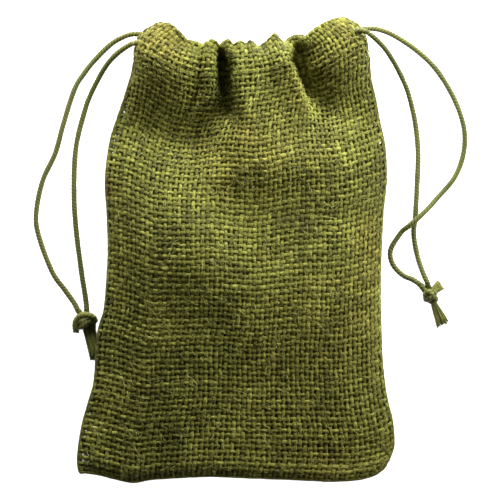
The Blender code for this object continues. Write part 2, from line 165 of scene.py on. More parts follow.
def through(table, x):
    """Smooth values through a table whose first column rises."""
    table = np.array(table, float)
    at, rest = table[:, 0], table[:, 1:]
    slope = np.gradient(rest, at, axis=0)
    x = np.clip(x, at[0], at[-1])
    i = np.clip(np.searchsorted(at, x, side="right") - 1, 0, len(at) - 2)
    gap = (at[i + 1] - at[i])[..., None]
    t = ((x - at[i]) / (at[i + 1] - at[i]))[..., None]
    return ((2 * t ** 3 - 3 * t ** 2 + 1) * rest[i] + (t ** 3 - 2 * t ** 2 + t) * gap * slope[i]
            + (3 * t ** 2 - 2 * t ** 3) * rest[i + 1] + (t ** 3 - t ** 2) * gap * slope[i + 1])


def step(low, high, x):
    """0 below low, 1 above high, and smooth between them."""
    t = np.clip((x - low) / (high - low), 0, 1)
    return t * t * (3 - 2 * t)


def cloud(shape, cells, rng):
    """Smooth random values, about -1 to 1, with the given number of bumps each way."""
    bumps = rng.uniform(-1, 1, (cells[0] + 2, cells[1] + 2))
    a = np.linspace(0.5, cells[0] + 0.49, shape[0])
    b = np.linspace(0.5, cells[1] + 0.49, shape[1])
    i, j = a.astype(int), b.astype(int)
    s, t = step(0, 1, a - i)[:, None], step(0, 1, b - j)[None, :]
    return ((bumps[np.ix_(i, j)] * (1 - s) + bumps[np.ix_(i + 1, j)] * s) * (1 - t)
            + (bumps[np.ix_(i, j + 1)] * (1 - s) + bumps[np.ix_(i + 1, j + 1)] * s) * t)


def patch(u, v):
    """Plan position inside the outline, for arrays u across and v along."""
    shares_u, shares_v = u[:, 0], v[0, :]
    left, right = curve(LEFT_EDGE, shares_v)[None], curve(RIGHT_EDGE, shares_v)[None]
    low, high = curve(BOTTOM_EDGE, shares_u)[:, None], curve(NECK_EDGE, shares_u)[:, None]
    a, b = u[..., None], v[..., None]
    corners = ((low[0] * (1 - a) + low[-1] * a) * (1 - b) + (high[0] * (1 - a) + high[-1] * a) * b)
    return left * (1 - a) + right * a + low * (1 - b) + high * b - corners


def crown(u, v):
    """Height of the front before it's gathered."""
    side = np.abs(2 * u - 1)
    across = (1 - side ** 2.6) ** 0.62
    heights = through(PILLOW, v[0])
    left, middle, right = heights[None, :, 0], heights[None, :, 1], heights[None, :, 2]
    to_left, to_right = 1 - step(*LEFT_BULGE, u), step(*RIGHT_BULGE, u)
    level = middle + (left - middle) * to_left + (right - middle) * to_right
    return RIM + (level - RIM) * across


def blurred(values, width):
    """Values averaged down the first axis, over about the given number of cells each way."""
    reach = np.arange(-3 * width, 3 * width + 1)
    weights = np.exp(-0.5 * (reach / width) ** 2)
    padded = np.pad(values, ((3 * width, 3 * width), (0, 0)), mode="edge")
    total = sum(w * padded[k:k + len(values)] for k, w in enumerate(weights))
    return total / weights.sum()


BLUR = {True: 24, False: 14}  # cells over which the columns' and the rows' spacing is shared


def even_out(grid, rounds=2):
    """The same surface, with its rows and columns spread evenly over it.  The steep sides of
    the pleats count for less, so that the faces between them keep the cloth's own spacing."""
    for _ in range(rounds):
        for columns in (True, False):
            lines = grid if columns else grid.transpose(1, 0, 2)
            steps = np.diff(lines, axis=1) * (1, 1, 1 if columns else STEEP_SHARE)
            steps = np.linalg.norm(steps, axis=2)
            run = np.concatenate([np.zeros((len(lines), 1)), np.cumsum(steps, 1)], 1)
            run = blurred(run / run[:, -1:], BLUR[columns])
            shares = np.linspace(0, 1, lines.shape[1])
            moved = np.stack([[np.interp(shares, run[k], line[:, c]) for c in range(3)]
                              for k, line in enumerate(lines)]).transpose(0, 2, 1)
            grid = moved if columns else moved.transpose(1, 0, 2)
    return grid


def shares_grid():
    return np.meshgrid(np.linspace(0, 1, GRID_U), np.linspace(0, 1, GRID_V), indexing="ij")


def pulled_to(body, u, v):
    """The front drawn to the hem line and the top line, in folds that fade out further down."""
    share = u[:, 0]
    at_hem = np.array([np.interp(HEM_V, v[0], body[k, :, c]) for k in range(GRID_U)
                       for c in range(3)]).reshape(GRID_U, 3)
    hem_pull = through(HEM_LINE, share) - at_hem
    top_pull = through(TOP_LINE, share) - body[:, -1]
    corner = 0.03
    ends = np.minimum(step(0, corner, share), step(0, corner, 1 - share))[:, None]
    hem_pull *= ends
    top_pull *= ends
    rise = step(GATHER_START, HEM_V, v)
    over = step(HEM_V, 1.0, v)[..., None]
    # further down, the folds' lines lean to the right, by shares of the width
    lean = (0.075 * step(0.44, 0.60, u) * (1 - step(0.82, 1.0, u))
            + 0.020 * step(0.25, 0.36, u) * (1 - step(0.42, 0.50, u)))
    at = np.clip(u - lean * np.sqrt(1 - rise), 0, 1)
    hem_pull = np.dstack([np.interp(at, share, hem_pull[:, c]) for c in range(3)])
    rise = rise[..., None] ** 0.85
    return body + rise * ((1 - over) * hem_pull + over * top_pull[:, None])


def press_pleat(body, u, v):
    """The deepest pleat runs on below the hem, between the left ear and the middle, and leans
    to the right as it goes down."""
    deep, lowest, wide = 7.0, 3.4, 0.036
    centre = 0.388 + 0.085 * (1 - step(0.74, 0.93, v))
    pleat = np.exp(-((u - centre) / wide) ** 2) * step(0.77, 0.86, v) * (1 - step(0.95, 1, v))
    body[..., 2] = np.maximum(body[..., 2] - deep * pleat, np.minimum(body[..., 2], lowest))


def ripple(body, u, v):
    """Small uneven waves, none of them at the seams."""
    inner = step(0, 0.06, u) * step(0, 0.06, 1 - u) * step(0, 0.04, v)
    body[..., 2] += 0.35 * inner * cloud(u.shape, (9, 13), RANDOM)
    body[..., 2] += 0.8 * inner * cloud(u.shape, (4, 5), RANDOM)
    body[..., :2] += 0.35 * inner[..., None] * np.dstack(
        [cloud(u.shape, (6, 9), RANDOM), cloud(u.shape, (6, 9), RANDOM)])


def front_surface():
    u, v = shares_grid()
    body = pulled_to(np.dstack([patch(u, v), crown(u, v)]), u, v)
    press_pleat(body, u, v)
    ripple(body, u, v)
    return even_out(body)


def back_surface():
    """The back lies flat, turns up to the seams and is ruffled at the mouth."""
    u, v = shares_grid()
    flat = patch(u, v)
    floor, rim = 0.75, RIM - 1.4
    side_turn, bottom_turn = 0.12, 0.035
    side = np.clip((np.abs(2 * u - 1) - 1 + side_turn) / side_turn, 0, 1)
    low = np.clip((bottom_turn - v) / bottom_turn, 0, 1)
    turned = np.clip(np.hypot(side, low), 0, 1) ** 2
    z = floor + (rim - floor) * turned
    ruffles = 9
    ruffle = 0.5 - 0.5 * np.cos(2 * math.pi * ruffles * (u + 0.01 * np.sin(11 * u)))
    mouth = step(0.74, 0.95, v)
    middle = step(0, 0.1, u) * step(0, 0.1, 1 - u)
    z += 2.0 * ruffle * mouth * middle
    z += 0.8 * step(0.86, 0.93, v) * middle
    flat[..., 1] -= 1.2 * step(0.9, 1, v) + 0.5 * ruffle * step(0.95, 1, v)
    return even_out(np.dstack([flat, z]))


def normals(grid, up):
    """Directions out of the surface, on the side that up (1 or -1) says."""
    a = np.gradient(grid, axis=0)
    b = np.gradient(grid, axis=1)
    n = np.cross(a, b) * up
    return n / np.linalg.norm(n, axis=-1, keepdims=True)


def with_hem(grid, up):
    """The surface and its normals, carried on over the top fold and down inside the sack."""
    n = normals(grid, up)
    top, along = grid[:, -1], grid[:, -1] - grid[:, -4]
    along /= np.linalg.norm(along, axis=-1, keepdims=True)
    out = n[:, -1] - (n[:, -1] * along).sum(-1, keepdims=True) * along
    out /= np.linalg.norm(out, axis=-1, keepdims=True)
    row_gap = np.linalg.norm(np.diff(grid, axis=1), axis=-1).mean()
    turns = max(int(math.pi * FOLD_RADIUS / row_gap), 4)
    rows, faces = [], []
    for k in range(1, turns + 1):
        angle = math.pi * k / turns
        centre = top - FOLD_RADIUS * out
        way = out * math.cos(angle) + along * math.sin(angle)
        rows.append(centre + FOLD_RADIUS * way)
        faces.append(way)
    deep = int(HEM_DEPTH / row_gap)
    settled = 8               # rows after the fold over which the inner layer comes in line
    for k in range(1, deep + 1):
        part = k / deep
        gap = FOLD_RADIUS * (2.0 + 0.5 * math.sin(math.pi * part) - part)
        row = -1 - k
        blend = min(k / settled, 1.0)
        facing = n[:, row] * blend + out * (1 - blend)
        rows.append(grid[:, row] - gap * facing)
        faces.append(-facing)
    made = np.concatenate([grid, np.stack(rows, 1)], 1)
    facing = np.concatenate([n, np.stack(faces, 1)], 1)
    return made, facing / np.linalg.norm(facing, axis=-1, keepdims=True)


def sample(grid, a, b):
    """Values of the grid at fractional places a across and b along, counted in cells."""
    a = np.clip(a, 0, grid.shape[0] - 1.001)
    b = np.clip(b, 0, grid.shape[1] - 1.001)
    i, j = a.astype(int), b.astype(int)
    s, t = (a - i)[..., None], (b - j)[..., None]
    return ((grid[i, j] * (1 - s) + grid[i + 1, j] * s) * (1 - t)
            + (grid[i, j + 1] * (1 - s) + grid[i + 1, j + 1] * s) * t)


# ---- meshes ---------------------------------------------------------------------------------


def add_object(name, verts, loops, starts, uvs, tints, finish):
    """An object from arrays, with its points in millimetres."""
    mesh = bpy.data.meshes.new(name)
    mesh.vertices.add(len(verts))
    mesh.vertices.foreach_set("co", (verts * MM).astype(np.float32).ravel())
    mesh.loops.add(len(loops))
    mesh.loops.foreach_set("vertex_index", loops.astype(np.int32))
    mesh.polygons.add(len(starts))
    mesh.polygons.foreach_set("loop_start", starts.astype(np.int32))
    layer = mesh.uv_layers.new(name="yarn")
    layer.data.foreach_set("uv", uvs.astype(np.float32).ravel())
    # the tint is each yarn's own tone; on cords and threads it also holds painted shade in the
    # grooves between strands
    tint = mesh.attributes.new("tint", "FLOAT", "POINT")
    tint.data.foreach_set("value", tints.astype(np.float32))
    mesh.update(calc_edges=True)
    mesh.validate()
    mesh.shade_smooth()
    mesh.materials.append(finish)
    thing = bpy.data.objects.new(name, mesh)
    bpy.context.scene.collection.objects.link(thing)
    return thing


GROOVE_PAINTED_SHADE = 16              # how much painted shade darkens the grooves between a cord's strands, and how much lighter their crowns are painted


def tube_faces(count, rings, sides, run):
    """Corners, starts and UVs of the faces of closed tubes: u is round them and v along."""
    base = (np.arange(count)[:, None, None] * rings + np.arange(rings - 1)[None, :, None]) * sides
    k = np.arange(sides)[None, None]
    after = (k + 1) % sides
    quads = np.stack([base + k, base + sides + k, base + sides + after, base + after], -1)
    u0, u1, v0, v1 = (np.broadcast_to(values, quads.shape[:3]) for values in (
        k / sides, (k + 1) / sides, run[:, :-1, None], run[:, 1:, None]))
    uvs = np.stack([np.stack([u0, v0], -1), np.stack([u0, v1], -1), np.stack([u1, v1], -1),
                    np.stack([u1, v0], -1)], -2).reshape(-1, 2)
    quads = quads.reshape(-1, 4)
    first = np.arange(count)[:, None] * rings * sides + np.arange(sides)[None]
    last = first + (rings - 1) * sides
    caps = np.concatenate([first, last[:, ::-1]])
    loops = np.concatenate([quads.ravel(), caps.ravel()])
    starts = np.concatenate([np.arange(len(quads)) * 4,
                             len(quads) * 4 + np.arange(len(caps)) * sides])
    return loops, starts, np.vstack([uvs, np.zeros((caps.size, 2))])


def yarns(name, paths, facing, wide, high, tints, finish, sides=6, lobes=0, twist=0.0):
    """Closed tubes of oval section along paths, an array of (tubes, rings, 3).  With lobes the
    section is that many strands laid round each other, with twist turns to the millimetre."""
    count, rings = paths.shape[:2]
    tiny = 1e-9
    along = np.gradient(paths, axis=1)
    along /= np.linalg.norm(along, axis=-1, keepdims=True) + tiny
    across = np.cross(along, facing)
    across /= np.linalg.norm(across, axis=-1, keepdims=True) + tiny
    facing = np.cross(across, along)
    steps = np.linalg.norm(np.diff(paths, axis=1), axis=-1)
    run = np.concatenate([np.zeros((count, 1)), np.cumsum(steps, 1)], 1)
    angle = 2 * math.pi * np.arange(sides) / sides
    wide = np.broadcast_to(wide, (count, rings))[..., None]
    high = np.broadcast_to(high, (count, rings))[..., None]
    tints = np.broadcast_to(tints, (count, rings))[..., None]
    swell = 1.0
    if lobes:
        phase = lobes / 2 * (angle[None, None] - 2 * math.pi * twist * run[..., None])
        swell = 0.80 + 0.24 * np.abs(np.cos(phase)) ** 0.8
        # painted shade: the grooves between strands are darkened and the strands' crowns are
        # painted lighter
        tints = tints + GROOVE_PAINTED_SHADE * (swell - 0.93)
    c, s = np.cos(angle) * wide * swell, np.sin(angle) * high * swell
    verts = (paths[:, :, None] + c[..., None] * across[:, :, None]
             + s[..., None] * facing[:, :, None]).reshape(-1, 3)
    loops, starts, uvs = tube_faces(count, rings, sides, run)
    tints = np.broadcast_to(tints, (count, rings, sides)).ravel()
    return add_object(name, verts, loops, starts, uvs, tints, finish)


# ---- finishes -------------------------------------------------------------------------------


class Nodes:
    """Short ways to add the nodes of one finish."""

    def __init__(self, name):
        self.material = bpy.data.materials.new(name)
        self.material.use_nodes = True
        self.tree = self.material.node_tree
        self.shader = self.tree.nodes["Principled BSDF"]

    def add(self, kind):
        return self.tree.nodes.new("ShaderNode" + kind)

    def link(self, start, end):
        self.tree.links.new(start, end)

    def math(self, operation, a, b):
        node = self.add("Math")
        node.operation = operation
        for socket, value in zip(node.inputs, (a, b)):
            if isinstance(value, (int, float)):
                socket.default_value = value
            else:
                self.link(value, socket)
        return node.outputs[0]

    def noise(self, place, scale, detail):
        node = self.add("TexNoise")
        node.inputs["Scale"].default_value = scale
        node.inputs["Detail"].default_value = detail
        self.link(place, node.inputs["Vector"])
        return node

    def set(self, **values):
        """Values of the shader's own inputs, with _ for the spaces in their names."""
        for name, value in values.items():
            self.shader.inputs[name.replace("_", " ")].default_value = value


def fibre_place(made, tint, streak):
    """Where a point is on its yarn, wound round it, and different for each tint."""
    winding, along_yarn, apart = 0.42, 1.3, 37.0
    uv = made.add("UVMap")
    uv.uv_map = "yarn"
    split = made.add("SeparateXYZ")
    made.link(uv.outputs[0], split.inputs[0])
    around, along = split.outputs[0], split.outputs[1]
    place = made.add("CombineXYZ")
    turned = made.math("ADD", around, made.math("MULTIPLY", along, winding))
    made.link(made.math("MULTIPLY", turned, streak), place.inputs[0])
    made.link(made.math("MULTIPLY", along, along_yarn), place.inputs[1])
    made.link(made.math("MULTIPLY", tint, apart), place.inputs[2])
    return place.outputs[0]


def shade_ramp(made, parts, colours):
    """A colour between the dark, middle and light one, from the sum of weighted values."""
    level = 0.0
    for value, weight in parts:
        level = made.math("ADD", level, made.math("MULTIPLY", value, weight))
    ramp = made.add("ValToRGB")
    stops = ramp.color_ramp.elements
    stops[0].position, stops[1].position = 0.36, 0.66
    stops.new(0.50)
    for stop, colour in zip(stops, colours):
        stop.color = (*colour, 1)
    made.link(level, ramp.inputs[0])
    return ramp.outputs[0]


def faded(made, place, colour):
    """The colour, multiplied by a browner one in broad soft patches."""
    patches = made.noise(place, 38.0, 3.0)
    amount = made.add("MapRange")
    for socket, value in zip(amount.inputs[1:5], (0.48, 0.74, 0.0, 0.55)):
        socket.default_value = value
    made.link(patches.outputs["Fac"], amount.inputs[0])
    mix = made.add("Mix")
    mix.data_type, mix.blend_type = "RGBA", "MULTIPLY"
    mix.inputs["B"].default_value = (1.08, 0.86, 0.80, 1)
    made.link(amount.outputs[0], mix.inputs["Factor"])
    made.link(colour, mix.inputs["A"])
    return mix.outputs["Result"]


def yarn_finish(name, dark, middle, light, streak, bump, roughness):
    """Spun fibre: fine fibres wind round the yarn, and each yarn has its own shade."""
    made = Nodes(name)
    tint = made.add("Attribute")
    tint.attribute_name = "tint"
    where = made.add("TexCoord").outputs["Object"]
    fibres = made.noise(fibre_place(made, tint.outputs["Fac"], streak), 1.0, 3.0)
    fibres.inputs["Roughness"].default_value = 0.65
    spots, grain = made.noise(where, 60.0, 4.0), made.noise(where, 1700.0, 2.0)
    colour = shade_ramp(made, ((fibres.outputs["Fac"], 0.50), (spots.outputs["Fac"], 0.26),
                               (grain.outputs["Fac"], 0.24), (tint.outputs["Fac"], 0.07)),
                        (dark, middle, light))
    made.link(faded(made, where, colour), made.shader.inputs["Base Color"])
    made.set(Roughness=roughness, Sheen_Weight=0.05, Sheen_Roughness=0.5,
             Sheen_Tint=(*light, 1), IOR=1.45, Specular_IOR_Level=0.30)
    rise = made.add("Bump")
    rise.inputs["Strength"].default_value = bump
    rise.inputs["Distance"].default_value = 0.00012
    made.link(fibres.outputs["Fac"], rise.inputs["Height"])
    made.link(rise.outputs[0], made.shader.inputs["Normal"])
    return made.material


JUTE = yarn_finish("jute", (0.028, 0.028, 0.0015), (0.098, 0.100, 0.0075), (0.29, 0.295, 0.052),
                   7.0, 0.9, 0.72)
HAIR = yarn_finish("loose_fibre", (0.13, 0.13, 0.020), (0.28, 0.285, 0.065), (0.50, 0.50, 0.17),
                   3.0, 0.2, 0.60)
THREAD = yarn_finish("sewing_thread", (0.045, 0.045, 0.005), (0.10, 0.105, 0.014),
                     (0.22, 0.225, 0.050), 4.0, 0.6, 0.60)
CORD = yarn_finish("waxed_cord", (0.016, 0.019, 0.0015), (0.058, 0.065, 0.0065),
                   (0.16, 0.172, 0.030), 5.0, 0.7, 0.50)
FRAYED = yarn_finish("frayed_cord", (0.040, 0.046, 0.006), (0.125, 0.140, 0.022),
                     (0.30, 0.315, 0.085), 5.0, 0.7, 0.55)

# ---- the cords: their routes in metres -------------------------------------------------------
CORD_WIDE = 0.90              # half width
CORD_RINGS = 0.22             # millimetres between rings
LEFT_FRONT = [
    (-0.0345, 0.0672, 0.0096), (-0.0376, 0.0652, 0.0085), (-0.0407, 0.0625, 0.0068),
    (-0.0434, 0.0590, 0.0049), (-0.0459, 0.0546, 0.0034), (-0.0478, 0.0508, 0.0022),
    (-0.0495, 0.0464, 0.0014), (-0.0522, 0.0360, 0.0010), (-0.0531, 0.0271, 0.0010),
    (-0.0532, 0.0167, 0.0010), (-0.0528, 0.0098, 0.0010), (-0.0522, 0.0036, 0.0010),
    (-0.0507, -0.0078, 0.0010), (-0.0494, -0.0160, 0.0013), (-0.0490, -0.0197, 0.0019)]
LEFT_BACK = [
    (-0.0313, 0.0709, 0.0026), (-0.0354, 0.0705, 0.0021), (-0.0407, 0.0679, 0.0013),
    (-0.0459, 0.0630, 0.0010), (-0.0501, 0.0578, 0.0010), (-0.0532, 0.0525, 0.0010),
    (-0.0568, 0.0411, 0.0010), (-0.0594, 0.0317, 0.0010), (-0.0635, 0.0228, 0.0010),
    (-0.0656, 0.0124, 0.0010), (-0.0649, 0.0051, 0.0010), (-0.0605, -0.0069, 0.0010),
    (-0.0562, -0.0131, 0.0010), (-0.0533, -0.0172, 0.0013), (-0.0519, -0.0199, 0.0019)]
RIGHT_FRONT = [
    (0.0427, 0.0712, 0.0118), (0.0458, 0.0688, 0.0107), (0.0489, 0.0656, 0.0086),
    (0.0510, 0.0626, 0.0067), (0.0530, 0.0593, 0.0048), (0.0550, 0.0553, 0.0032),
    (0.0567, 0.0510, 0.0018), (0.0588, 0.0422, 0.0010), (0.0598, 0.0322, 0.0010),
    (0.0595, 0.0219, 0.0010), (0.0589, 0.0111, 0.0010), (0.0584, 0.0052, 0.0010),
    (0.0595, -0.0015, 0.0010), (0.0612, -0.0069, 0.0013), (0.0628, -0.0107, 0.0019)]
RIGHT_BACK = [
    (0.0419, 0.0724, 0.0048), (0.0458, 0.0725, 0.0038), (0.0515, 0.0706, 0.0018),
    (0.0593, 0.0656, 0.0010), (0.0661, 0.0589, 0.0010), (0.0718, 0.0494, 0.0010),
    (0.0749, 0.0400, 0.0010), (0.0747, 0.0317, 0.0010), (0.0718, 0.0239, 0.0010),
    (0.0661, 0.0171, 0.0015), (0.0627, 0.0133, 0.0027), (0.0593, 0.0101, 0.0033),
    (0.0565, 0.0077, 0.0027), (0.0541, 0.0056, 0.0015), (0.0508, 0.0000, 0.0010),
    (0.0515, -0.0046, 0.0010), (0.0546, -0.0081, 0.0010), (0.0578, -0.0096, 0.0013),
    (0.0604, -0.0113, 0.0019)]
LEFT_LOOP = [
    (-0.0345, 0.0672, 0.0096), (-0.0314, 0.0680, 0.0086), (-0.0270, 0.0676, 0.0066),
    (-0.0200, 0.0652, 0.0044), (-0.0120, 0.0636, 0.0040), (-0.0020, 0.0634, 0.0040),
    (0.0080, 0.0634, 0.0040), (0.0200, 0.0642, 0.0040), (0.0290, 0.0666, 0.0050),
    (0.0360, 0.0678, 0.0064), (0.0394, 0.0679, 0.0066), (0.0410, 0.0686, 0.0058),
    (0.0412, 0.0698, 0.0044), (0.0398, 0.0706, 0.0030), (0.0360, 0.0696, 0.0024),
    (0.0280, 0.0670, 0.0022), (0.0180, 0.0654, 0.0022), (0.0080, 0.0650, 0.0022),
    (-0.0040, 0.0650, 0.0022), (-0.0160, 0.0660, 0.0022), (-0.0240, 0.0694, 0.0024),
    (-0.0313, 0.0709, 0.0026)]
RIGHT_LOOP = [
    (0.0427, 0.0712, 0.0118), (0.0396, 0.0716, 0.0108), (0.0350, 0.0702, 0.0082),
    (0.0280, 0.0660, 0.0054), (0.0200, 0.0628, 0.0038), (0.0080, 0.0616, 0.0036),
    (-0.0040, 0.0616, 0.0036), (-0.0140, 0.0620, 0.0038), (-0.0220, 0.0642, 0.0048),
    (-0.0274, 0.0654, 0.0060), (-0.0300, 0.0654, 0.0064), (-0.0314, 0.0646, 0.0058),
    (-0.0314, 0.0638, 0.0046), (-0.0300, 0.0636, 0.0034), (-0.0264, 0.0650, 0.0026),
    (-0.0210, 0.0654, 0.0024), (-0.0140, 0.0632, 0.0022), (-0.0040, 0.0628, 0.0022),
    (0.0080, 0.0628, 0.0022), (0.0200, 0.0642, 0.0022), (0.0280, 0.0680, 0.0026),
    (0.0350, 0.0710, 0.0036), (0.0419, 0.0724, 0.0048)]


def straight_up(path, lean=0.0):
    """The upward direction at each point of a path."""
    up = np.zeros_like(path)
    up[..., 2] = 1.0
    up[..., 0] = lean
    return up


def cord_tube(name, route, wide=CORD_WIDE, tint=0.0):
    """A cord of three strands along a route in metres."""
    points = np.array(route) / MM
    rings = int(curve_length(points) / CORD_RINGS)
    path = curve(points, np.linspace(0, 1, rings))[None]
    wobble = 1 + 0.05 * cloud((1, rings), (1, max(rings // 12, 2)), RANDOM)
    return yarns(name, path, straight_up(path, 0.05), wide * wobble, wide * wobble, tint, CORD,
                 sides=16, lobes=3, twist=0.30)


def tassel(name, start, end, start_wide, end_wide, thick, count, tint):
    """A frayed end of cord: fibres that fan out from start to end, in millimetres."""
    start, end = np.array(start), np.array(end)
    way = end - start
    side = np.cross(way, [0, 0, 1.0])
    side /= np.linalg.norm(side)
    rings = 9
    t = np.linspace(0, 1, rings)[None, :, None]
    off = RANDOM.uniform(-1, 1, (count, 1, 1))
    lift = RANDOM.uniform(-1, 1, (count, 1, 1)) * np.sqrt(1 - off ** 2)
    reach = RANDOM.uniform(0.86, 1.06, (count, 1, 1))
    width = start_wide / 2 + (end_wide - start_wide) / 2 * t ** 0.8
    path = start + way * t * reach + side * off * width
    path = path + np.array([0, 0, 1.0]) * lift * thick / 2
    path += RANDOM.normal(0, 0.05, (count, 1, 3)) * t * 2
    fibre_wide, fibre_high = 0.13, 0.11
    path[..., 2] = np.maximum(path[..., 2], fibre_high + 0.01)
    shade = tint + RANDOM.uniform(-1, 1, (count, 1)) * np.ones((1, rings))
    return yarns(name, path, straight_up(path), fibre_wide, fibre_high, shade, FRAYED, sides=5)


def free_cord(name, route):
    """A strand outside the sack, from the mouth to its knot."""
    tube = cord_tube(name, route)
    curve_length(route)
    return tube


def drawstring(side, front, back, loop, knot, knot_tint, tail, stub):
    """One drawstring: two free strands, the loop inside the hems, the knot and its cut ends."""
    on_cord = [cord_tube("%s_knot_strand_%d" % (side, index + 1), strand, CORD_WIDE * 1.1,
                         knot_tint - index) for index, strand in enumerate(knot)]
    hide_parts(side + "_knot")
    for end, shape in (("tail", tail), ("stub", stub)):
        on_cord.append(tassel(side + "_frayed_" + end, **shape))
        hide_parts(side + "_" + end)
    front_piece = free_cord(side + "_front_cord", front)
    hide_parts(side + "_front_strand")
    back_piece = free_cord(side + "_back_cord", back)
    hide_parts(side + "_back_strand")
    loop_piece = cord_tube(side + "_inner_cord", loop, tint=0.1)
    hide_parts(side + "_inner_loop")
    for piece in on_cord + [front_piece, back_piece, loop_piece]:
        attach(piece, side + "_drawstring")


# each knot is the ends of both its strands, one turned round the other
LEFT_KNOT = [
    [(-0.0519, -0.0199, 0.0019), (-0.0504, -0.0216, 0.0013), (-0.0484, -0.0229, 0.0012),
     (-0.0469, -0.0236, 0.0019), (-0.0463, -0.0229, 0.0030), (-0.0473, -0.0217, 0.0039),
     (-0.0494, -0.0212, 0.0042), (-0.0513, -0.0218, 0.0038), (-0.0525, -0.0232, 0.0031),
     (-0.0528, -0.0248, 0.0025), (-0.0526, -0.0263, 0.0020)],
    [(-0.0490, -0.0197, 0.0019), (-0.0491, -0.0216, 0.0014), (-0.0502, -0.0230, 0.0012),
     (-0.0513, -0.0244, 0.0015), (-0.0510, -0.0253, 0.0026), (-0.0498, -0.0246, 0.0034),
     (-0.0486, -0.0235, 0.0036), (-0.0474, -0.0233, 0.0031), (-0.0468, -0.0244, 0.0024),
     (-0.0473, -0.0256, 0.0020), (-0.0484, -0.0259, 0.0018)]]
RIGHT_KNOT = [
    [(0.0604, -0.0113, 0.0019), (0.0620, -0.0132, 0.0015), (0.0639, -0.0149, 0.0012),
     (0.0653, -0.0159, 0.0016), (0.0656, -0.0160, 0.0026), (0.0646, -0.0149, 0.0035),
     (0.0632, -0.0137, 0.0037), (0.0623, -0.0144, 0.0032), (0.0625, -0.0158, 0.0024),
     (0.0638, -0.0166, 0.0018), (0.0648, -0.0172, 0.0016)],
    [(0.0628, -0.0107, 0.0019), (0.0633, -0.0124, 0.0014), (0.0634, -0.0144, 0.0011),
     (0.0624, -0.0157, 0.0016), (0.0626, -0.0162, 0.0028), (0.0639, -0.0156, 0.0036),
     (0.0651, -0.0143, 0.0034), (0.0653, -0.0136, 0.0028), (0.0656, -0.0129, 0.0024)]]
# the left tail's tint is set lighter, painted light that lifts the shade it lies in beside the
# knot
LEFT_TAIL = {"start": (-49.0, -22.4, 1.5), "end": (-46.3, -35.4, 1.1), "start_wide": 4.6,
             "end_wide": 3.2, "thick": 2.4, "count": 230, "tint": 0.9}
LEFT_STUB = {"start": (-52.6, -25.9, 2.0), "end": (-52.6, -27.1, 1.8), "start_wide": 1.7,
             "end_wide": 1.9, "thick": 1.7, "count": 60, "tint": 0.5}
RIGHT_TAIL = {"start": (64.5, -16.4, 1.5), "end": (67.9, -24.4, 1.2), "start_wide": 1.3,
              "end_wide": 4.2, "thick": 1.5, "count": 130, "tint": 0.6}
RIGHT_STUB = {"start": (64.6, -13.6, 2.6), "end": (67.3, -11.3, 2.3), "start_wide": 2.2,
              "end_wide": 3.6, "thick": 1.8, "count": 110, "tint": 1.0}
# the left knot's tint of 1.6, above the right's 0.8, is painted light that lifts the shade on the
# left knot
drawstring("left", LEFT_FRONT, LEFT_BACK, LEFT_LOOP, LEFT_KNOT, 1.6, LEFT_TAIL, LEFT_STUB)
drawstring("right", RIGHT_FRONT, RIGHT_BACK, RIGHT_LOOP, RIGHT_KNOT, 0.8, RIGHT_TAIL, RIGHT_STUB)

# ---- the cloth ------------------------------------------------------------------------------


def uneven(count, crossings, sway, bulk, size, rng):
    """How much each yarn of a set sways, its bulk and shade along its length, and its size."""
    rings = crossings * RINGS + 1
    strays = cloud((count, rings), (count, crossings // 2), rng) * sway
    bulks = 1 + bulk * cloud((count, rings), (count, crossings // 3), rng)
    own = rng.uniform(-1, 1, (count, 1)) * 0.5
    floats = 0.9 * rng.uniform(-1, 1, (count, crossings)).repeat(RINGS, 1)
    floats = np.hstack([floats, floats[:, -1:]])
    shades = own + floats + 0.5 * cloud((count, rings), (count, crossings // 5), rng)
    return strays, bulks, shades, rng.uniform(*size, (count, 1))


def spacing(surface, a, b, across, along):
    """Millimetres to a cell, across the cloth with (0.5, 0) or along it with (0, 0.5)."""
    gap = sample(surface, a + across, b + along) - sample(surface, a - across, b - along)
    return np.linalg.norm(gap, axis=-1)


def thinner(rows):
    """How much thinner yarns are at the given rows of wefts."""
    return OPEN_TOP * step(*OPEN_ROWS, rows / WEFTS)


def make_warps(name, surface, facing, weft_count, warps, close, rng):
    rows_per_weft, columns_per_warp = (GRID_V - 1) / WEFTS, (GRID_U - 1) / WARPS
    # both halves draw the same numbers for every warp, so that they match
    sway, bulk, shade, size = uneven(WARPS, weft_count, 0.16, 0.13, (0.90, 1.12), rng)
    # the outermost ones lie close to the seams
    outward = (warps == WARPS - 1) * 1.0 - (warps == 0)
    place = (warps[:, None] + 0.5 + sway[warps]) * columns_per_warp
    place += 0.2 * columns_per_warp * outward[:, None]
    rows = np.linspace(0.04, weft_count - 0.04, sway.shape[1])[None]
    rows = rows + np.zeros((len(warps), 1))
    sign = np.where(warps % 2 == 0, 1.0, -1.0)[:, None]
    lift = sign * np.cos(math.pi * (rows - 0.5)) * WEAVE_RISE
    along = rows * rows_per_weft
    point, out = sample(surface, place, along), sample(facing, place, along)
    room = (spacing(surface, place, along, 0.5, 0) * columns_per_warp
            / (2 * WARP_WIDE * FULL_ROOM))
    crowded = np.clip(room, 0.55, 1.1)
    # on the steep sides of the pleats, where they're further apart, the warps spread out
    spread = crowded + 0.75 * np.clip(room - 1.4, 0, 1.2)
    # and at the top fold they're pressed flat and wide
    spread *= 1 + 0.35 * np.exp(-((rows - WEFTS) / 2.5) ** 2)
    wide = WARP_WIDE * close * bulk[warps] * size[warps] * spread * (1 - thinner(rows))
    return yarns(name + "_warps", point + out * lift[..., None], out, wide,
                 YARN_HIGH * bulk[warps] * (2 - crowded), shade[warps], JUTE)


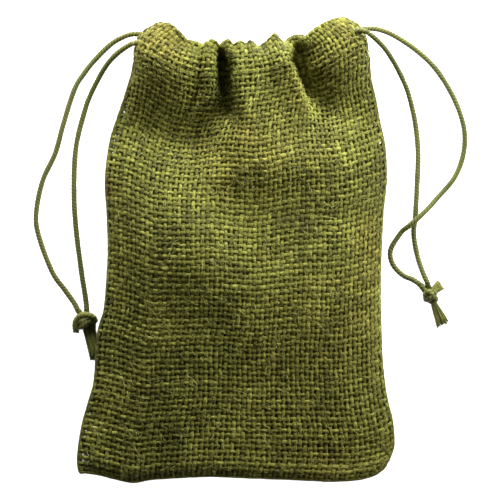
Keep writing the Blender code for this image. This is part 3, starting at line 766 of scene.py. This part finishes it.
def make_wefts(name, surface, facing, weft_count, warps, close, rng):
    rows_per_weft, columns_per_warp = (GRID_V - 1) / WEFTS, (GRID_U - 1) / WARPS
    # both halves draw the same numbers, so that a weft carries on across the split
    sway, bulk, shade, size = uneven(weft_count, WARPS, 0.17, 0.16, (0.88, 1.14), rng)
    wefts = np.arange(weft_count)[:, None]
    size -= thinner(wefts)
    # the rows at the top fold are pushed together
    size += 0.50 * np.exp(-((wefts - WEFTS) / 2.0) ** 2)
    part = slice(warps[0] * RINGS, (warps[-1] + 1) * RINGS + 1)
    columns = np.linspace(0, WARPS, sway.shape[1])[None, part] + np.zeros((weft_count, 1))
    place = (wefts + 0.5 + sway[:, part]) * rows_per_weft
    sign = np.where(wefts % 2 == 0, 1.0, -1.0)
    lift = -sign * np.cos(math.pi * (columns - 0.5)) * WEAVE_RISE
    across = columns * columns_per_warp
    point, out = sample(surface, across, place), sample(facing, across, place)
    return yarns(name + "_wefts", point + out * lift[..., None], out,
                 WEFT_WIDE * close * bulk[:, part] * size, YARN_HIGH * bulk[:, part],
                 shade[:, part], JUTE)


def put_on_mouth(pieces):
    for piece in pieces:
        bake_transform(piece)


def stray_fibres(name, surface, facing, left, count, rng, last_row):
    """Fine hairs that stand a little off the cloth, a few of them long."""
    rings = 9
    low, high = (0.01, SPLIT) if left else (SPLIT, 0.99)
    u = rng.uniform(low, high, (count, 1))
    v = rng.uniform(0.01, 0.99, (count, 1)) * last_row
    length = rng.uniform(0.8, 3.2, (count, 1))
    length[::12] *= 2.4
    heading = rng.normal(0, 0.7, (count, 1)) + rng.choice([0, math.pi / 2], (count, 1))
    t = np.linspace(0, 1, rings)[None]
    bend = rng.normal(0, 0.55, (count, 1)) * t
    cell = 0.27               # about the millimetres between points of the surface
    a = u * (GRID_U - 1) + np.cumsum(np.cos(heading + bend), 1) * length / rings / cell
    b = v + np.cumsum(np.sin(heading + bend), 1) * length / rings / cell
    a = np.clip(a, low * (GRID_U - 1), high * (GRID_U - 1))
    point, out = sample(surface, a, b), sample(facing, a, b)
    rise = 0.45 + rng.uniform(0.0, 1.0, (count, 1)) * np.sin(math.pi * t) * 0.6
    rise += rng.uniform(-0.1, 0.3, (count, 1)) * t
    path = point + out * rise[..., None]
    above_table = 0.08
    path[..., 2] = np.maximum(path[..., 2], above_table)
    thick = rng.uniform(0.028, 0.060, (count, 1))
    shade = rng.uniform(-0.6, 1.2, (count, 1)) * np.ones((1, rings))
    return yarns(name, path, out, thick, thick, shade, HAIR, sides=3)


def panel(name, surface, up, nodes, fibres, close):
    """One face of the sack, in a left and a right half of three pieces each."""
    grid, facing = with_hem(surface, up)
    weft_count = int((grid.shape[1] - 1) * WEFTS / (GRID_V - 1))
    seed = 11 if up > 0 else 23
    for side in ("left", "right"):
        half = name + "_" + side
        left = side == "left"
        warps = np.arange(0, SPLIT_WARP) if left else np.arange(SPLIT_WARP, WARPS)
        rng = np.random.default_rng(seed)
        warp = make_warps(half, grid, facing, weft_count, warps, close, rng)
        weft = make_wefts(half, grid, facing, weft_count, warps, close, rng)
        hairs = stray_fibres(half + "_fibres", grid, facing, left, fibres, RANDOM, GRID_V - 2)
        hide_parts(*nodes[side])
        put_on_mouth((warp, weft, hairs))


FRONT = front_surface()
BACK = back_surface()
panel("front", FRONT, 1,
      {"left": ("front_panel", "front_hem_left"), "right": ("front_hem_right",)},
      2200, 1.0)
panel("back", BACK, -1,
      {"left": ("back_panel", "back_hem_left"), "right": ("back_hem_right",)},
      600, BACK_CLOSE)

# ---- seams and stitching --------------------------------------------------------------------
SACK_LENGTH = 150.0


def stitches(name, line, facing, pitch, wide, rise):
    """A running stitch along a line of points."""
    rings = 10                # to a stitch
    count = int(curve_length(line) / pitch) * rings + 1
    path = curve(line, np.linspace(0, 1, count))
    out = curve(facing, np.linspace(0, 1, count))
    wave = rise * np.cos(np.arange(count) / rings * 2 * math.pi)[:, None]
    path = (path + out * wave)[None]
    return yarns(name, path, out[None], wide, wide, RANDOM.uniform(-0.3, 0.3), THREAD,
                 sides=8, lobes=2, twist=0.6)


def hem_stitches(name, grid, up, side, node):
    """The row of stitches that holds a hem's inner layer."""
    facing = normals(grid, up)
    row = np.full(60, float(int((GRID_V - 1) * (1 - HEM_DEPTH / SACK_LENGTH))))
    low, high = (0.02, SPLIT - 0.003) if side == "left" else (SPLIT + 0.003, 0.98)
    at = np.linspace(low, high, len(row)) * (GRID_U - 1)
    out = sample(facing, at, row)
    piece = stitches(name, sample(grid, at, row) + out * 0.25, out, 3.4, 0.17, 0.42)
    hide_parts(node)
    put_on_mouth((piece,))


for half in ("left", "right"):
    hem_stitches("front_hem_stitches_" + half, FRONT, 1, half, "front_hem_thread_" + half)
    hem_stitches("back_hem_stitches_" + half, BACK, -1, half, "back_hem_thread_" + half)


def seam_rim(side):
    """The fold of the cloth along the seam, from the middle of the bottom up to the mouth."""
    shares = np.linspace(0, 1, 200)
    if side == "left":
        low = curve(BOTTOM_EDGE, shares * 0.52)[::-1]
        edge = curve(LEFT_EDGE, 0.005 + shares * 0.90)
    else:
        low = curve(BOTTOM_EDGE, 0.50 + shares * 0.50)
        edge = curve(RIGHT_EDGE, 0.005 + shares * 0.90)
    rings = 700
    line = curve(np.vstack([low, edge])[::6], np.linspace(0, 1, rings))
    line = np.column_stack([line, np.full(rings, RIM)])
    line[:, 2] += 0.12 * cloud((1, rings), (1, 60), RANDOM)[0]
    bulk = 1 + 0.12 * cloud((1, rings), (1, 110), RANDOM)
    rim = yarns(side + "_seam_rim", line[None], straight_up(line[None]), 0.52 * bulk,
                0.60 * bulk, -0.4, JUTE, sides=8)
    put_on_mouth((rim,))


def allowance(side):
    """The cloth outside a side seam, turned to the inside of the sack, and its stitches."""
    edge = curve(LEFT_EDGE if side == "left" else RIGHT_EDGE, np.linspace(0.045, 0.88, 400))
    inward = 1 if side == "left" else -1
    rng = np.random.default_rng(5)
    level, rise = 4.9, 0.25
    warps, wefts = 4, 74
    first, pitch = 2.2, 1.5   # where the warps lie, measured in from the seam
    rings = wefts * RINGS + 1
    path = np.zeros((warps, rings, 3))
    at = curve(edge, np.linspace(0, 1, rings))
    for k in range(warps):
        path[k, :, 0] = at[:, 0] + inward * (first + pitch * k)
        path[k, :, 1] = at[:, 1]
        path[k, :, 2] = level + rise * np.cos(math.pi * np.arange(rings) / RINGS + math.pi * k)
    long = yarns(side + "_seam_warps", path, straight_up(path), 0.55, YARN_HIGH,
                 rng.uniform(-1, 1, (warps, 1)), JUTE)
    at = curve(edge, (np.arange(wefts) + 0.5) / wefts)
    reach = np.linspace(1.4, 7.4, 13)[None]
    cross = np.zeros((wefts, 13, 3))
    cross[..., 0] = at[:, :1] + inward * reach
    cross[..., 1] = at[:, 1:] + rng.normal(0, 0.1, (wefts, 1))
    sign = np.where(np.arange(wefts) % 2 == 0, 1.0, -1.0)[:, None]
    cross[..., 2] = level - rise * sign * np.cos(math.pi * (reach - first) / pitch)
    short = yarns(side + "_seam_wefts", cross, straight_up(cross), 0.58, YARN_HIGH,
                  rng.uniform(-1, 1, (wefts, 1)), JUTE)
    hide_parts(side + "_seam_allowance")
    stitched, above = 3.2, 5.5
    line = np.column_stack([edge[::8, 0] + inward * stitched, edge[::8, 1], np.full(50, above)])
    thread = stitches(side + "_seam_stitches", line, straight_up(line[None])[0], 4.0, 0.2, 0.35)
    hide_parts(side + "_seam_thread")
    put_on_mouth((long, short))
    put_on_mouth((thread,))


for half in ("left", "right"):
    seam_rim(half)
    allowance(half)

# ---- the table and the light ----------------------------------------------------------------


def make_table():
    """A white table top, which doesn't light the sack from below."""
    finish = bpy.data.materials.new("white_table")
    finish.use_nodes = True
    shader = finish.node_tree.nodes["Principled BSDF"]
    shader.inputs["Base Color"].default_value = (0.85, 0.85, 0.85, 1)
    shader.inputs["Roughness"].default_value = 0.9
    reach = 3
    mesh = bpy.data.meshes.new("table")
    mesh.from_pydata([(-reach, -reach, 0), (reach, -reach, 0), (reach, reach, 0),
                      (-reach, reach, 0)], [], [(0, 1, 2, 3)])
    mesh.materials.append(finish)
    table = bpy.data.objects.new("table", mesh)
    table.visible_diffuse = False
    bpy.context.scene.collection.objects.link(table)
    return table


def softbox(name, place, aim, size, power):
    light = bpy.data.objects.new(name, bpy.data.lights.new(name, "AREA"))
    light.data.shape = "RECTANGLE"
    light.data.size, light.data.size_y = size
    light.data.energy = power
    light.location = place
    way = Vector(aim) - Vector(place)
    light.rotation_euler = way.to_track_quat("-Z", "Y").to_euler()
    bpy.context.scene.collection.objects.link(light)


def overhead_light(table):
    """A broad overhead light for the table alone, which stays white right up to the cloth."""
    light = bpy.data.objects.new("overhead", bpy.data.lights.new("overhead", "SUN"))
    light.data.energy = 6.5
    light.data.angle = math.radians(36)
    light.location = (0, 0, 1)
    bpy.context.scene.collection.objects.link(light)
    lit = bpy.data.collections.new("lit_by_overhead")
    lit.objects.link(table)
    light.light_linking.receiver_collection = lit


softbox("key", (0.03, 0.32, 0.085), (0, 0.03, 0), (0.22, 0.09), 2.35)
softbox("left_key", (-0.16, 0.26, 0.135), (0, 0.03, 0), (0.22, 0.10), 1.15)
softbox("right_key", (0.24, 0.23, 0.145), (0, 0.03, 0), (0.22, 0.10), 1.35)
softbox("right_fill", (0.42, 0.06, 0.15), (0, 0, 0), (0.18, 0.34), 1.8)
overhead_light(make_table())

world = bpy.data.worlds.new("studio")
world.use_nodes = True
world.node_tree.nodes["Background"].inputs["Color"].default_value = (1, 1, 1, 1)
world.node_tree.nodes["Background"].inputs["Strength"].default_value = 0.05
bpy.context.scene.world = world
bpy.context.scene.view_settings.view_transform = "Standard"
bpy.context.scene.view_settings.look = "None"
